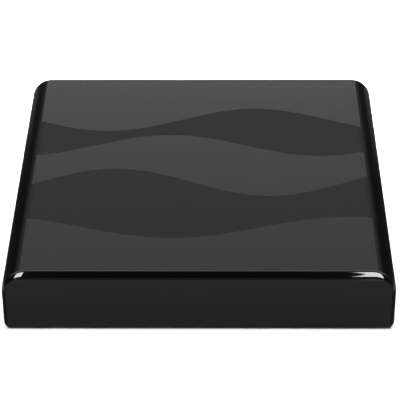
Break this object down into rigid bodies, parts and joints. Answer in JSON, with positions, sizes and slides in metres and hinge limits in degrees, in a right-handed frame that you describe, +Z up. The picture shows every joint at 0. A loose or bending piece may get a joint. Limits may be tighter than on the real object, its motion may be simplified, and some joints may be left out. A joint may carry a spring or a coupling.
{
  "type": "media player with hard drive tray",
  "caption": "Slim square gloss black media player with a smoked front window, rear sockets and a side tray that slides out with its hard drive.",
  "frame": {"origin": "on the table plane, under the middle of the case", "axes": "+X to the right as seen from the front, +Y to the back, +Z up; the front window faces -Y and the tray opens to +X"},
  "size_m": [0.18, 0.1799, 0.031],
  "materials": {
    "gloss_black": "high-gloss moulded plastic",
    "smoked_window": "smoked infrared-pass plastic, polished",
    "satin_black": "fine satin moulding",
    "rubber": "matt",
    "zinc_steel": "zinc-plated sheet",
    "cast_aluminium": "as cast, fine grain",
    "polished_steel": "bright plated",
    "black_screw": "black oxide",
    "green_board": "solder mask",
    "black_plastic": "fine matt moulding",
    "ribbon_white": "flexible film",
    "lamp_lens": "clear tinted resin"
  },
  "bodies": {
    "case": {"top_cover": "gloss_black", "front_window": "smoked_window", "rear_panel": "satin_black", "base_plate": "satin_black", "foot_front_left": "rubber", "foot_front_right": "rubber", "foot_rear_left": "rubber", "foot_rear_right": "rubber", "case_screw_front_left": "black_screw", "case_screw_front_right": "black_screw", "case_screw_rear_left": "black_screw", "case_screw_rear_right": "black_screw", "drive_cage": "zinc_steel", "board_screw_1": "zinc_steel", "board_screw_2": "zinc_steel", "board_screw_3": "zinc_steel", "cage_screw_1": "zinc_steel", "cage_screw_2": "zinc_steel", "cage_screw_3": "zinc_steel", "cage_screw_4": "zinc_steel", "heat_sink": "cast_aluminium", "capacitor_1": "polished_steel", "capacitor_2": "polished_steel", "data_socket_left": "polished_steel", "data_socket_right": "polished_steel", "display_socket": "polished_steel", "network_socket": "polished_steel", "main_board": "green_board", "sensor_board": "green_board", "drive_socket": "black_plastic", "processor": "black_plastic", "memory_chip_1": "black_plastic", "memory_chip_2": "black_plastic", "power_coil": "black_plastic", "audio_jack": "black_plastic", "video_jack": "black_plastic", "dc_jack": "black_plastic", "switch_housing": "black_plastic", "infrared_receiver": "black_plastic", "ribbon_socket": "black_plastic", "sensor_ribbon": "ribbon_white", "status_lamp": "lamp_lens"},
    "tray": {"drive_tray": "satin_black", "tray_bezel": "gloss_black", "lever_pin": "polished_steel", "bezel_screw_1": "zinc_steel", "bezel_screw_2": "zinc_steel", "drive_housing": "cast_aluminium", "drive_lid": "polished_steel", "drive_board": "green_board", "drive_plug": "black_plastic", "drive_screw_1": "zinc_steel", "drive_screw_2": "zinc_steel", "drive_screw_3": "zinc_steel", "drive_screw_4": "zinc_steel"},
    "lever": {"tray_lever": "satin_black"},
    "rocker": {"switch_rocker": "black_plastic"}
  },
  "joints": [
    {"name": "tray_slide", "type": "slide", "parent": "case", "child": "tray", "axis": [1, 0, 0], "range_m": [0, 0.1]},
    {"name": "lever_swing", "type": "hinge", "parent": "tray", "child": "lever", "pos_m": [0.0885, -0.06168, 0.01075], "axis": [0, 0, -1], "range_deg": [0, 75]},
    {"name": "rocker_tilt", "type": "hinge", "parent": "case", "child": "rocker", "pos_m": [-0.0471, 0.085, 0.0117], "axis": [0, 0, -1], "range_deg": [0, 14]}
  ]
}
